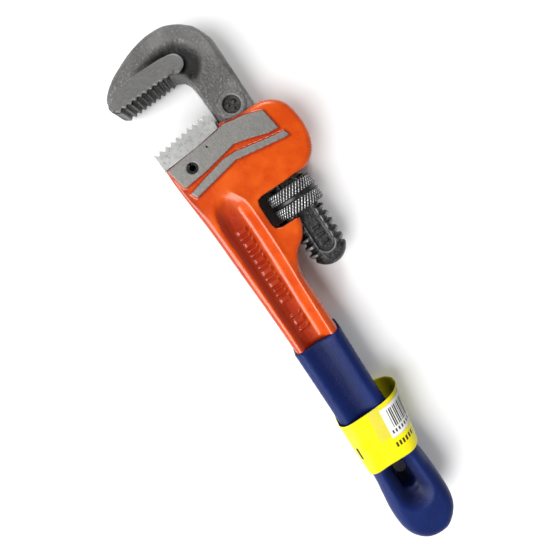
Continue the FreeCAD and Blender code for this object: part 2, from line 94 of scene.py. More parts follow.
def box_distance(x, y, low_x, low_y, high_x, high_y):
    dx = np.maximum(low_x - x, x - high_x)
    dy = np.maximum(low_y - y, y - high_y)
    return np.where((dx > 0) & (dy > 0), np.hypot(dx, dy), np.maximum(dx, dy))


def slot_distance(x, y, low_x, high_x, middle_y, radius):
    return np.hypot(x - np.clip(x, low_x, high_x), y - middle_y) - radius


def round_max(a, b, radius):
    """Intersection of two fields with the edge between them rounded."""
    u = np.maximum(a + radius, 0)
    v = np.maximum(b + radius, 0)
    return np.minimum(np.maximum(a, b), -radius) + np.hypot(u, v)


class Grid:
    def __init__(self, low, high, step):
        self.low, self.step = np.array(low, float), step
        axes = [np.arange(a, b + step, step) for a, b in zip(low, high)]
        self.x, self.y = np.meshgrid(axes[0], axes[1], indexing="ij")
        self.z = axes[2]
        self.x3, self.y3 = self.x[:, :, None], self.y[:, :, None]
        self.z3 = axes[2][None, None, :]


def surface(grid, field):
    """Quads of the field's zero level: one point per crossed cell, one quad per crossed edge."""
    n = np.array(field.shape) - 1
    inside = field < 0
    total = np.zeros(tuple(n) + (3,), np.float32)
    count = np.zeros(tuple(n), np.float32)
    corners = [(i, j, k) for i in (0, 1) for j in (0, 1) for k in (0, 1)]

    def part(array, c):
        return array[c[0]:c[0] + n[0], c[1]:c[1] + n[1], c[2]:c[2] + n[2]]

    for c in corners:
        for axis in range(3):
            if c[axis]:
                continue
            d = list(c)
            d[axis] = 1
            a, b = part(field, c), part(field, d)
            cross = part(inside, c) != part(inside, d)
            t = np.where(cross, a / np.where(cross, a - b, 1), 0)
            for k in range(3):
                total[..., k] += np.where(cross, c[k] + (t if k == axis else 0), 0)
            count += cross
    used = count > 0
    index = np.full(tuple(n), -1, np.int64)
    index[used] = np.arange(used.sum())
    cells = np.argwhere(used)
    points = grid.low + (cells + total[used] / count[used][:, None]) * grid.step
    quads = []
    for axis in range(3):
        u, v = (axis + 1) % 3, (axis + 2) % 3
        low = [slice(1, n[k]) for k in range(3)]
        low[axis] = slice(0, n[axis])
        high = list(low)
        high[axis] = slice(1, n[axis] + 1)
        a, b = inside[tuple(low)], inside[tuple(high)]
        at = np.argwhere(a != b)
        leaving = a[tuple(at.T)]
        at = at + np.array([0 if k == axis else 1 for k in range(3)])
        eu, ev = np.eye(3, dtype=int)[u], np.eye(3, dtype=int)[v]
        ring = [index[tuple((at - s * eu - t * ev).T)] for s, t in ((1, 1), (0, 1), (0, 0), (1, 0))]
        quad = np.stack(ring, axis=1)
        quad[~leaving] = quad[~leaving][:, ::-1]
        quads.append(quad)
    return points, np.vstack(quads)


def make_mesh(name, points, faces, material, body, nodes, attributes=None, smooth=True):
    mesh = bpy.data.meshes.new(name)
    mesh.from_pydata(((np.asarray(points) + SHIFT) * MM).tolist(), [], np.asarray(faces).tolist())
    mesh.update()
    if smooth:
        mesh.shade_smooth()
    for key, values in (attributes or {}).items():
        layer = mesh.attributes.new(key, "FLOAT", "POINT")
        layer.data.foreach_set("value", np.asarray(values, np.float32))
    mesh.materials.append(material)
    piece = bpy.data.objects.new(name, mesh)
    bpy.context.scene.collection.objects.link(piece)
    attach(piece, body)
    if nodes:
        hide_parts(*nodes)
    return piece


# ------------------------------------------------------------------ material helpers

class Shader:
    """A principled material whose inputs are built node by node."""

    def __init__(self, name, **values):
        self.material = bpy.data.materials.new(name)
        self.material.use_nodes = True
        self.nodes = self.material.node_tree.nodes
        self.links = self.material.node_tree.links
        self.bsdf = self.nodes["Principled BSDF"]
        self.place = self.nodes.new("ShaderNodeTexCoord").outputs["Object"]
        for key, value in values.items():
            self.bsdf.inputs[key.replace("_", " ")].default_value = value

    def stretch(self, scale, turn=0.0):
        node = self.nodes.new("ShaderNodeMapping")
        node.inputs["Scale"].default_value = scale
        node.inputs["Rotation"].default_value = (0, 0, turn)
        self.links.new(self.place, node.inputs["Vector"])
        return node.outputs["Vector"]

    def noise(self, scale, detail=3.0, roughness=0.55, vector=None):
        node = self.nodes.new("ShaderNodeTexNoise")
        node.inputs["Scale"].default_value = scale
        node.inputs["Detail"].default_value = detail
        node.inputs["Roughness"].default_value = roughness
        self.links.new(vector or self.place, node.inputs["Vector"])
        return node.outputs["Fac"]

    def layer(self, name):
        node = self.nodes.new("ShaderNodeAttribute")
        node.attribute_name = name
        return node.outputs["Fac"]

    def height(self):
        node = self.nodes.new("ShaderNodeSeparateXYZ")
        self.links.new(self.place, node.inputs[0])
        return node.outputs["Z"]

    def math(self, kind, a, b=0.0):
        node = self.nodes.new("ShaderNodeMath")
        node.operation = kind
        for slot, value in zip(node.inputs, (a, b)):
            if isinstance(value, (int, float)):
                slot.default_value = value
            else:
                self.links.new(value, slot)
        return node.outputs[0]

    def band(self, value, low, high, out_low=0.0, out_high=1.0):
        node = self.nodes.new("ShaderNodeMapRange")
        node.interpolation_type = "SMOOTHSTEP"
        for key, number in zip(("From Min", "From Max", "To Min", "To Max"),
                               (low, high, out_low, out_high)):
            node.inputs[key].default_value = number
        self.links.new(value, node.inputs["Value"])
        return node.outputs["Result"]

    def mix(self, factor, a, b):
        node = self.nodes.new("ShaderNodeMix")
        node.data_type = "RGBA"
        self.links.new(factor, node.inputs[0])
        for slot, value in ((node.inputs[6], a), (node.inputs[7], b)):
            if isinstance(value, tuple):
                slot.default_value = value + (1.0,)
            else:
                self.links.new(value, slot)
        return node.outputs[2]

    def bump(self, heights):
        """heights is a list of (height output, strength, distance in metres)."""
        normal = None
        for height, strength, distance_m in heights:
            node = self.nodes.new("ShaderNodeBump")
            node.inputs["Strength"].default_value = strength
            node.inputs["Distance"].default_value = distance_m
            self.links.new(height, node.inputs["Height"])
            if normal is not None:
                self.links.new(normal, node.inputs["Normal"])
            normal = node.outputs["Normal"]
        self.set("Normal", normal)

    def set(self, key, output):
        self.links.new(output, self.bsdf.inputs[key])
        return self


# ------------------------------------------------------------------ casting

CAST_OUTLINE = [
    [(38.2, 40.4), (29.8, 40.1), (12.9, 38.9), (0.0, 38.1), (-16.3, 37.5), (-33.1, 36.8),
     (-57.9, 36.1)],
    [(-57.9, 36.1), (-90.0, 35.9)], [(-90.0, 35.9), (-90.0, 15.8)], [(-90.0, 15.8), (-56.0, 15.5)],
    [(-56.0, 15.5), (-42.0, 15.6), (-33.0, 15.7), (-27.1, 15.3), (-22.3, 13.2), (-20.0, 11.6),
     (-18.2, 9.6), (-15.7, 6.6), (-11.8, 4.3), (-7.4, 3.0), (-4.0, 2.4)],
    [(-4.0, 2.4), (5.0, 2.4)],
    [(5.0, 2.4), (7.4, -4.0), (8.6, -10.6), (11.2, -14.8), (14.4, -17.3), (18.7, -19.0),
     (23.2, -19.7), (28.0, -19.6), (32.9, -18.8), (36.9, -17.1), (40.0, -14.0), (42.0, -9.6),
     (42.5, -5.7), (42.4, 0.0), (42.8, 6.0), (43.4, 10.6)],
    [(43.4, 10.6), (41.3, 12.6)], [(41.3, 12.6), (40.0, 22.0)], [(40.0, 22.0), (38.2, 40.4)]]
WIDE_FLAT = [(38.2, 39.6), (28.4, 37.4), (27.9, 36.0), (29.2, 25.4), (31.6, 14.1),
             (32.5, 10.1), (30.8, 3.0), (28.5, -4.3), (28.1, -9.2), (37.8, -7.6),
             (40.9, 1.3), (42.0, 9.8), (41.4, 12.6), (40.0, 22.0)]
THIN_FLAT = [(24.8, 36.5), (21.9, 35.0), (24.1, 24.3), (26.5, 13.0), (25.2, 4.1),
             (23.6, -7.1), (23.2, -11.4), (25.9, -10.5), (27.4, -0.7), (29.6, 11.0),
             (29.7, 17.2), (27.4, 27.1)]
WEB_OUTLINE = [(19.5, 27.6), (18.2, 23.6), (12.8, 19.5), (7.0, 18.0), (-14.5, 17.6),
               (-48.1, 18.4), (-104.0, 19.0), (-110.0, 24.0), (-110.0, 29.0), (-104.0, 33.6),
               (-48.0, 34.2), (-14.0, 34.6), (6.0, 35.0), (15.5, 32.6)]
WINDOW = [(-7.2, -40.0), (8.0, -40.0), (8.1, 11.6), (7.4, 14.3), (5.0, 15.2), (-4.0, 15.2),
          (-6.4, 14.4), (-7.3, 11.8)]


def mark_field(x, y):
    """Plain raised blocks where the lettering stood: a long group, then a short one."""
    best = np.full(x.shape, 9.0)
    low = 2.4
    for width in (2.6, 1.3, 2.6, 1.3, 1.3, 2.6, 1.3, 2.6, 1.3, 2.6, 1.3, 1.3, 2.6):
        low -= width + 1.0
        best = np.minimum(best, box_distance(x, y, low, 24.9, low + width, 29.7))
    for low, width in ((-42.6, 1.3), (-46.4, 2.8), (-49.4, 1.6)):
        best = np.minimum(best, box_distance(x, y, low, 24.9, low + width, 29.6))
    return best


def build_casting(material):
    grid = Grid((-74.0, -21.5, -11.7), (45.0, 42.0, 11.7), 0.46)
    x, y = grid.x, grid.y
    side = distance(x, y, outline(CAST_OUTLINE))
    half = np.interp(x, [-160, -58, -8], [7.7, 8.0, 9.5])
    web = distance(x, y, closed_curve(WEB_OUTLINE, 4))
    # Sloping sides down to a flat floor; the panel dies out towards the head.
    dip = 3.5 * ramp(-web, 0.2, 5.6) * ramp(x, 21.0, 4.0)
    half = half - dip
    # A soft raised bead runs along the panel's nut side.
    half = half + 0.45 * np.exp(-((web + 0.1) / 1.3) ** 2) * ramp(y, 24.0, 20.0) * ramp(x, 22, 14)
    marks = mark_field(x, y)
    half = half + 0.9 * ramp(-marks, -0.2, 0.3)
    flats = np.minimum(distance(x, y, WIDE_FLAT), distance(x, y, THIN_FLAT))
    half = np.where(flats < 0.35, half + (10.4 - half) * ramp(-flats, -0.3, 0.15), half)
    rounding = 2.9 - 1.5 * ramp(y, 28, 34) * ramp(x, 10, 26)
    rounding = rounding - (rounding - 0.35) * ramp(x, 37.0, 38.5) * ramp(y, 6.0, 9.0)
    body = round_max(side[:, :, None], np.abs(grid.z3) - half[:, :, None], rounding[:, :, None])
    depth = np.abs(grid.z3)
    channel = box_distance(grid.y3, depth, -10.0, -1.0, 12.2, 7.3)
    bay = box_distance(grid.x3, grid.y3, 14.0, -15.4, 36.0, 0.0)
    bay = np.maximum(bay, depth - 4.5)
    window = distance(x, y, WINDOW)[:, :, None] + 0.0 * grid.z3
    slot = np.maximum(box_distance(grid.x3, grid.y3, 24.0, 15.0, 60.0, 60.0), depth - 4.6)
    hole = np.hypot(x - 33.4, y - 30.0)[:, :, None] - 2.42 + 0.0 * grid.z3
    pit = np.hypot(x - 37.7, y - 20.0)[:, :, None] - 0.5 + 0.0 * grid.z3
    pit = np.maximum(pit, 9.7 - grid.z3)
    spring = np.hypot(grid.x3 + 13.0, grid.z3) - 3.2
    spring = np.maximum(spring, grid.y3 - 18.5)
    spring = np.maximum(spring, 11.0 - grid.y3)
    for cut, radius in ((window, 0.7), (channel, 0.4), (bay, 0.3), (slot, 0.25), (hole, 0.15),
                        (spring, 0.3), (pit, 0.1)):
        body = round_max(body, -cut, radius)
    points, quads = surface(grid, body.astype(np.float32))
    # Painted shade: the panel floor, its mouth-side slope, a rim round the ground flats and the mouth-side
    # rounding are darkened where shade falls.
    web_painted_shade = ramp(-distance(points[:, 0], points[:, 1], closed_curve(WEB_OUTLINE, 4)), 0.5, 5.0)
    web_painted_shade = web_painted_shade * ramp(points[:, 0], 20.0, 4.0) * (np.abs(points[:, 2]) < 8.6)
    web_painted_shade = web_painted_shade * ramp(points[:, 1], 21.5, 27.5)
    slope = ramp(-distance(points[:, 0], points[:, 1], closed_curve(WEB_OUTLINE, 4)), 0.0, 1.6)
    slope = slope * ramp(points[:, 1], 29.0, 31.5) * ramp(points[:, 0], 18.0, 8.0)
    web_painted_shade = np.maximum(web_painted_shade, slope * (np.abs(points[:, 2]) < 9.3))
    flats = np.minimum(distance(points[:, 0], points[:, 1], WIDE_FLAT),
                       distance(points[:, 0], points[:, 1], THIN_FLAT))
    web_painted_shade = np.maximum(web_painted_shade, 0.9 * ramp(flats, 1.5, 0.1) * ramp(points[:, 1], 40.0, 34.0))
    far = ramp(points[:, 1] - 0.02 * points[:, 0], 34.9, 37.4)
    web_painted_shade = np.maximum(web_painted_shade, 0.75 * far)
    # Painted shade: inner faces of the channel and slots, the window walls and the small pit are painted
    # near black where shade falls.
    recess_painted_shade = ramp(np.abs(points[:, 2]), 7.7, 7.2) * (
        (points[:, 1] > -10.3) & (points[:, 1] < 12.5) | (points[:, 0] > 24) & (points[:, 1] > 14)
        & (np.abs(points[:, 2]) < 4.8))
    walls = ramp(distance(points[:, 0], points[:, 1], WINDOW), 0.7, 0.35)
    speck = (np.hypot(points[:, 0] - 37.7, points[:, 1] - 20.0) < 0.75) & (points[:, 2] < 10.3)
    recess_painted_shade = np.maximum(recess_painted_shade, speck & (points[:, 2] > 9.2))
    recess_painted_shade = np.maximum(recess_painted_shade, walls * (points[:, 1] > -5.5) * ramp(np.abs(points[:, 2]), 9.4, 8.6))
    return make_mesh("housing_skin", points, quads, material, "frame", ["handle_housing"],
                     {"web": web_painted_shade, "recess_painted_shade": recess_painted_shade})


def paint_material():
    s = Shader("orange_enamel", Roughness=0.3, Coat_Weight=0.35, Coat_Roughness=0.14,
               Specular_IOR_Level=0.5)
    mottle = s.noise(90.0, 4.0)
    base = s.mix(s.band(mottle, 0.35, 0.7), (0.54, 0.066, 0.002), (0.66, 0.104, 0.003))
    # Painted shade on the panel floor, its slopes and the mouth-side edge, from the web layer.
    base = s.mix(s.math("MULTIPLY", s.layer("web"), 0.85), base, (0.30, 0.018, 0.001))
    # Painted shade, near black, on the inner faces, window walls and pit.
    base = s.mix(s.math("MULTIPLY", s.layer("recess_painted_shade"), 0.9), base, (0.020, 0.008, 0.006))
    chips = s.band(s.noise(420.0, 5.0, 0.7), 0.735, 0.75)
    base = s.mix(chips, base, (0.20, 0.06, 0.03))
    # Grinding bares everything above the flats' level, front and back.
    level = s.math("ABSOLUTE", s.math("SUBTRACT", s.height(), 11.2 * MM))
    edge = s.math("ADD", level, s.math("MULTIPLY", s.noise(700.0, 2.0), 0.0001))
    bare = s.band(edge, 10.12 * MM, 10.22 * MM)
    grain = s.noise(1.0, 5.0, 0.7, s.stretch((420.0, 2600.0, 2600.0), 0.62))
    speck = s.band(s.noise(1300.0, 4.0, 0.8), 0.52, 0.64)
    steel = s.mix(s.band(grain, 0.3, 0.7), (0.19, 0.185, 0.175), (0.27, 0.265, 0.25))
    steel = s.mix(s.math("MULTIPLY", speck, 0.5), steel, (0.38, 0.37, 0.35))
    s.set("Base Color", s.mix(bare, base, steel))
    s.set("Metallic", s.math("MULTIPLY", bare, 0.35))
    s.set("Roughness", s.math("ADD", s.math("MULTIPLY", bare, 0.22),
                              s.band(mottle, 0.3, 0.7, 0.24, 0.34)))
    s.set("Coat Weight", s.math("SUBTRACT", 0.35, s.math("MULTIPLY", bare, 0.35)))
    s.bump([(s.noise(260.0, 3.0), 0.34, 0.00040), (s.noise(1500.0, 2.0), 0.10, 0.00012),
            (s.math("MULTIPLY", grain, bare), 0.25, 0.0002)])
    return s.material


# ------------------------------------------------------------------ hook jaw

HOOK_RUNS = [
    [(26.0, -7.1), (61.5, -7.1)],
    [(61.5, -7.1), (74.1, -6.9), (78.9, -5.9), (84.4, -3.2), (87.4, -0.1), (89.2, 2.2),
     (91.1, 5.9), (92.2, 9.6), (92.4, 16.0), (91.6, 21.1), (90.4, 25.6), (88.9, 29.6),
     (87.2, 33.3), (85.5, 36.9), (83.4, 40.2), (81.0, 43.2), (78.4, 45.5), (75.4, 46.4),
     (72.6, 46.2), (71.0, 45.2), (69.8, 43.4)]]
HOOK_THROAT = [(71.0, 18.4), (71.9, 17.0), (71.1, 14.9), (69.3, 12.8), (67.1, 11.7),
               (63.5, 11.1), (58.0, 10.7), (47.0, 10.4)]
PAD = [(66.0, 44.0), (66.0, 18.4), (70.8, 16.6), (70.4, 13.6), (70.9, 11.2), (72.5, 9.1),
       (75.2, 8.3), (78.2, 9.5), (79.9, 12.5), (80.5, 20.1), (80.1, 30.3), (79.3, 38.0),
       (77.6, 42.0), (74.5, 45.2)]
POCKET = [(79.6, 30.0), (81.8, 24.5), (83.4, 17.5), (83.6, 11.2), (82.2, 5.9), (77.9, 2.4),
          (72.5, 1.7), (67.8, 3.7), (64.9, 7.6), (65.2, 10.4), (69.0, 12.6), (72.0, 16.0),
          (75.0, 22.0)]


def hook_outline():
    teeth = []
    for index in range(9):
        y = 42.9 - index * 2.70
        x = 69.55 + index * 0.165
        teeth += [(x, y), (x, y - 0.4), (x + 1.5, y - 1.55)]
    body = np.vstack([np.array(HOOK_RUNS[0][:1], float), catmull(HOOK_RUNS[1])])
    return np.vstack([body, np.array(teeth), catmull(HOOK_THROAT), [(26.0, 10.3)]])


def thread_radius(x, y, z):
    """Radius of the trapezoid thread at each place: a right-handed groove about X."""
    turn = np.arctan2(z, y) / (2 * np.pi)
    phase = (x + 1.5) / PITCH - turn
    off = np.abs(phase - np.round(phase)) * PITCH
    return ROOT_R + (THREAD_R - ROOT_R) * np.clip((off - 0.65) / 0.72, 0, 1)


def hook_half(x, y):
    half = 6.3 + 0.2 * ramp(x, 58.5, 61.0) + 1.5 * ramp(x, 61.0, 71.0)
    away = np.hypot(x - 47.8, y - 1.6)
    half = half + 0.55 * ramp(away, 6.5, 5.9) * ramp(away, 3.6, 4.2) - 1.0 * ramp(away, 4.1, 3.4)
    for sx, sy in ((-1.2, 0.0), (0.6, 1.1), (0.6, -1.1)):
        half = half + 0.7 * ramp(np.hypot(x - 47.8 - sx * 1.4, y - 1.6 - sy * 1.3), 0.95, 0.5)
    pocket = distance(x, y, closed_curve(POCKET))
    half = half - (2.1 * ramp(-pocket, -1.6, 3.6)) * ramp(y, 35.0, 14.0)
    pad = distance(x, y, closed_curve(PAD, 4))
    rim = np.exp(-((pad - 0.5) / 0.6) ** 2) * 0.4
    half = half - rim * (x > 66)
    half = half + (7.75 - half) * ramp(-pad, -0.15, 0.45) * (x > 66)
    panel = slot_distance(x, y, -23.2, 14.0, 0.0, 3.9)
    half = half - 1.2 * ramp(-panel, -0.2, 0.6) * (x < 16)
    for tick in (-22.6, -19.2, -15.8):
        bar = box_distance(x, y, tick - 0.55, -1.8, tick + 0.55, 1.8)
        half = half + 0.95 * ramp(-bar, -0.25, 0.25)
    return half


def build_hook(material):
    grid = Grid((-35.2, -10.4, -9.4), (94.6, 48.6, 9.4), 0.4)
    x, y = grid.x, grid.y
    half = hook_half(x, y)
    side = distance(x, y, hook_outline())
    rounding = 1.2 + 2.2 * ramp(x, 56.0, 70.0) + 0.8 * ramp(y, -2.0, -6.0)
    near_teeth = ramp(x, 76.0, 73.5) * ramp(y, 14.0, 18.0)
    rounding = rounding - (rounding - 0.3) * near_teeth
    rounding = rounding - (rounding - 0.9) * ramp(x, 73.5, 71.0) * ramp(y, 7.0, 10.0)
    rounding = np.maximum(rounding, 0.3)
    head = round_max(side[:, :, None], np.abs(grid.z3) - half[:, :, None], rounding[:, :, None])
    radial = np.hypot(grid.y3, grid.z3)
    nose = np.hypot(np.maximum(THREAD_R - 33.8 - grid.x3, 0), radial) - THREAD_R
    rod = np.maximum(nose, (radial - thread_radius(grid.x3, grid.y3, grid.z3)) * 0.85)
    rod = np.maximum(rod, grid.x3 - 30.0)
    rod = round_max(rod, np.abs(grid.z3) - half[:, :, None], 0.35)
    field = np.minimum(head, rod)
    points, quads = surface(grid, field.astype(np.float32))
    px, py, pz = points.T
    on_pad = ramp(-distance(px, py, closed_curve(PAD, 4)), 0.1, 0.5) * (px > 66)
    on_pad = on_pad * ramp(np.abs(pz), 7.45, 7.7)
    # Painted shade: the pocket beside the pad, the tooth grooves and the boss's ring recess are darkened
    # where shade falls.
    pocket = ramp(-distance(px, py, closed_curve(POCKET)), -2.2, 2.4) * (1 - on_pad)
    thread = ramp(px, 30.0, 26.0)
    # Painted shade in the roots of the thread.
    thread_root_shade = thread * ramp(np.hypot(py, pz), 8.6, 7.4) * (np.abs(py) > 5.0)
    panel = slot_distance(px, py, -23.2, 14.0, 0.0, 3.9)
    # Painted highlight: the panel's rim, the thread crests, the boss ring's edge and its centre are painted
    # lighter.
    rim = thread * np.exp(-((panel - 0.2) / 0.35) ** 2) * (np.abs(pz) > 5.9)
    rim = np.maximum(rim, thread * ramp(np.hypot(py, pz), 8.5, 8.8) * (np.abs(py) > 5.0))
    away = np.hypot(px - 47.8, py - 1.6)
    ring = ramp(away, 4.2, 3.6) * ramp(np.abs(pz), 6.3, 5.9)
    rim = np.maximum(rim, 0.5 * np.exp(-((away - 4.3) / 0.3) ** 2) * (np.abs(pz) > 6.2))
    rim = np.maximum(rim, 0.5 * ramp(away, 3.4, 3.0) * ramp(np.abs(pz), 5.9, 6.2))
    teeth = ramp(px, 72.4, 71.4) * (py > 17.5) * (px > 68) * ramp(px - 69.4, 0.1, 1.0)
    return make_mesh("hook_forging", points, quads, material, "hook", ["hook_jaw"],
                     {"pad": on_pad, "pocket": np.clip(pocket + teeth + 0.8 * ring, 0, 1), "thread": thread,
                      "thread_root_shade": thread_root_shade, "rim": rim})


def forging_material():
    s = Shader("forged_grey_steel", Metallic=0.45, Roughness=0.4)
    broad = s.noise(60.0, 3.0)
    fine = s.noise(1100.0, 5.0, 0.7)
    base = s.mix(s.band(broad, 0.3, 0.7), (0.120, 0.118, 0.116), (0.205, 0.202, 0.198))
    # Fine lighter specks: the sand-cast grain, partly painted glints.
    base = s.mix(s.math("MULTIPLY", s.band(fine, 0.52, 0.68), 0.6), base, (0.34, 0.337, 0.33))
    # Painted shade in the pocket, the tooth grooves and the boss recess.
    base = s.mix(s.math("MULTIPLY", s.layer("pocket"), 0.93), base, (0.012, 0.011, 0.011))
    brushed = s.noise(1.0, 4.0, 0.6, s.stretch((2600.0, 500.0, 2600.0), -0.1))
    ground = s.mix(s.band(brushed, 0.3, 0.7), (0.17, 0.168, 0.166), (0.23, 0.228, 0.224))
    base = s.mix(s.layer("pad"), base, ground)
    dark = s.mix(s.band(fine, 0.45, 0.7), (0.030, 0.030, 0.032), (0.100, 0.100, 0.100))
    base = s.mix(s.math("MULTIPLY", s.layer("thread"), 0.9), base, dark)
    # Painted shade in the thread roots.
    base = s.mix(s.math("MULTIPLY", s.layer("thread_root_shade"), 0.8), base, (0.012, 0.012, 0.013))
    # Painted highlight on the panel rim, thread crests and boss.
    base = s.mix(s.math("MULTIPLY", s.layer("rim"), 0.65), base, (0.34, 0.34, 0.34))
    s.set("Base Color", base)
    s.set("Roughness", s.band(fine, 0.3, 0.7, 0.46, 0.30))
    rough = s.math("MULTIPLY", s.noise(750.0, 4.0, 0.65),
                   s.math("SUBTRACT", 1.0, s.math("MULTIPLY", s.layer("pad"), 0.85)))
    s.bump([(rough, 0.75, 0.0006), (s.math("MULTIPLY", brushed, s.layer("pad")), 0.15, 0.0001)])
    return s.material


# ------------------------------------------------------------------ heel jaw

HEEL_TIPS = [(50.0, 14.4), (49.4, 17.3), (49.2, 20.2), (48.8, 23.1), (48.4, 26.0), (48.1, 28.9),
             (47.7, 31.8), (47.4, 34.7), (47.1, 37.8), (46.7, 40.8)]


def build_heel(material):
    """Toothed insert on a thin tongue; the steep flank of each tooth faces the mouth's end."""
    grid = Grid((25.4, 11.0, -10.9), (51.0, 42.0, 10.9), 0.26)
    x, y = grid.x, grid.y
    edge = [(38.35, 40.7), (39.7, 24.0), (41.6, 12.2), (44.9, 11.8), (48.0, 12.4)]
    for tip_x, tip_y in HEEL_TIPS:
        edge += [(tip_x, tip_y), (tip_x - 1.95, tip_y + 1.0)]
    edge[-1] = (46.3, 41.1)
    block = round_max(distance(x, y, edge)[:, :, None], np.abs(grid.z3) - 10.0, 0.25)
    tongue = box_distance(x, y, 26.0, 17.0, 41.0, 39.4)
    tongue = round_max(tongue[:, :, None], np.abs(grid.z3) - 4.4, 0.3)
    hole = np.hypot(x - 33.4, y - 30.0)[:, :, None] - 2.42 + 0.0 * grid.z3
    field = np.maximum(np.minimum(block, tongue), -hole)
    points, quads = surface(grid, field.astype(np.float32))
    # Painted shade on the tooth flanks and gaps behind the tips.
    tooth_root_shade = ramp(points[:, 0] + 0.118 * points[:, 1], 50.4, 49.8) * (np.abs(points[:, 2]) < 9.7)
    tooth_root_shade = tooth_root_shade * ramp(points[:, 0], 44.6, 45.6)
    return make_mesh("heel_insert", points, quads, material, "frame", ["heel_jaw"],
                     {"tooth_root_shade": tooth_root_shade})


def heel_material():
    s = Shader("bright_steel", Metallic=0.4, Roughness=0.3)
    brushed = s.noise(600.0, 3.0, 0.6)
    cloud = s.noise(70.0, 3.0)
    base = s.mix(s.band(brushed, 0.3, 0.7), (0.47, 0.47, 0.465), (0.55, 0.55, 0.545))
    base = s.mix(s.math("MULTIPLY", s.band(cloud, 0.4, 0.7), 0.4), base, (0.40, 0.40, 0.395))
    # Painted shade between the teeth.
    base = s.mix(s.math("MULTIPLY", s.layer("tooth_root_shade"), 0.6), base, (0.10, 0.10, 0.10))
    s.set("Base Color", base)
    s.set("Roughness", s.band(brushed, 0.3, 0.7, 0.26, 0.36))
    s.bump([(brushed, 0.05, 0.00005), (s.noise(900.0, 3.0), 0.08, 0.00005)])
    return s.material


# ------------------------------------------------------------------ adjusting nut

def build_nut(material):
    """Lathe-turned ring whose two bands carry a diagonal crossed knurl."""
    around, along = 540, 61
    angle = np.linspace(0, 2 * np.pi, around, endpoint=False)
    x = np.linspace(-6.2, 6.0, along)
    a, u = np.meshgrid(angle, x, indexing="ij")
    profile = 11.2 - 0.75 * ramp(np.abs(u + 0.1), 5.4, 6.1) - 0.95 * ramp(np.abs(u), 1.15, 0.75)
    on_band = ramp(np.abs(u), 1.1, 1.35) * ramp(np.abs(u + 0.1), 6.0, 5.5)
    slope = np.tan(np.radians(33.0)) / 11.2
    count = 46
    left = np.abs(((a - slope * u) * count / (2 * np.pi)) % 1.0 - 0.5) * 2
    right = np.abs(((a + slope * u) * count / (2 * np.pi)) % 1.0 - 0.5) * 2
    knurl = np.minimum(ramp(left, 0.1, 0.8), 0.6 + 0.4 * ramp(right, 0.1, 0.6))
    radius = profile - 0.5 * on_band * (1 - knurl)
    rings = [np.stack([u, radius * np.cos(a), radius * np.sin(a)], axis=-1)]
    height = [on_band * knurl + (1 - on_band) * 0.45]
    for x_at, radii in ((6.0, (9.9, 9.1)), (-6.2, (9.1, 9.9))):
        for r in radii:
            ring = np.stack([np.full(around, x_at), r * np.cos(angle), r * np.sin(angle)], axis=-1)
            rings.append(ring[:, None, :])
            height.append(np.full((around, 1), 0.35))
    table = np.concatenate(rings, axis=1)
    height = np.concatenate(height, axis=1)
    columns = table.shape[1]
    i, j = np.meshgrid(np.arange(around), np.arange(columns), indexing="ij")
    i2, j2 = (i + 1) % around, (j + 1) % columns
    quads = np.stack([i * columns + j, i * columns + j2, i2 * columns + j2, i2 * columns + j],
                     axis=-1).reshape(-1, 4)
    return make_mesh("knurled_nut", table.reshape(-1, 3), quads[:, ::-1], material, "nut",
                     ["adjusting_nut"], {"knurl": height.ravel()})


def nut_material():
    s = Shader("blackened_steel", Metallic=0.55, Roughness=0.32)
    # Knurl crests painted light, partly bare wear and partly painted highlight, against the blackened
    # valleys.
    tip = s.band(s.layer("knurl"), 0.35, 0.98)
    mottle = s.noise(500.0, 4.0, 0.6)
    crest_wear_and_highlight = s.mix(s.band(mottle, 0.35, 0.65), (0.34, 0.34, 0.345), (0.72, 0.72, 0.72))
    s.set("Base Color", s.mix(tip, (0.013, 0.013, 0.014), crest_wear_and_highlight))
    s.set("Roughness", s.band(mottle, 0.3, 0.7, 0.28, 0.42))
    s.bump([(s.noise(1800.0, 3.0), 0.2, 0.0001)])
    return s.material


# ------------------------------------------------------------------ dipped grip

GRIP_RUNS = [
    [(-54.0, 37.3), (-78.8, 37.0), (-107.2, 37.1), (-119.6, 37.1), (-127.3, 38.0),
     (-135.4, 38.8), (-142.9, 38.3), (-148.1, 35.9), (-151.8, 31.5), (-153.0, 26.0),
     (-152.1, 20.7), (-148.1, 16.0), (-143.2, 13.6), (-135.3, 13.0), (-126.7, 13.6),
     (-118.9, 14.5), (-84.8, 14.9), (-54.0, 14.3)],
    [(-54.0, 14.3), (-54.0, 37.3)]]
GRIP_WEB = [(-40.0, 19.0), (-100.0, 19.6), (-107.0, 22.5), (-109.5, 26.5), (-107.0, 31.0),
            (-100.0, 33.6), (-40.0, 33.8)]
HANG = (-127.9, -120.8, 25.8)


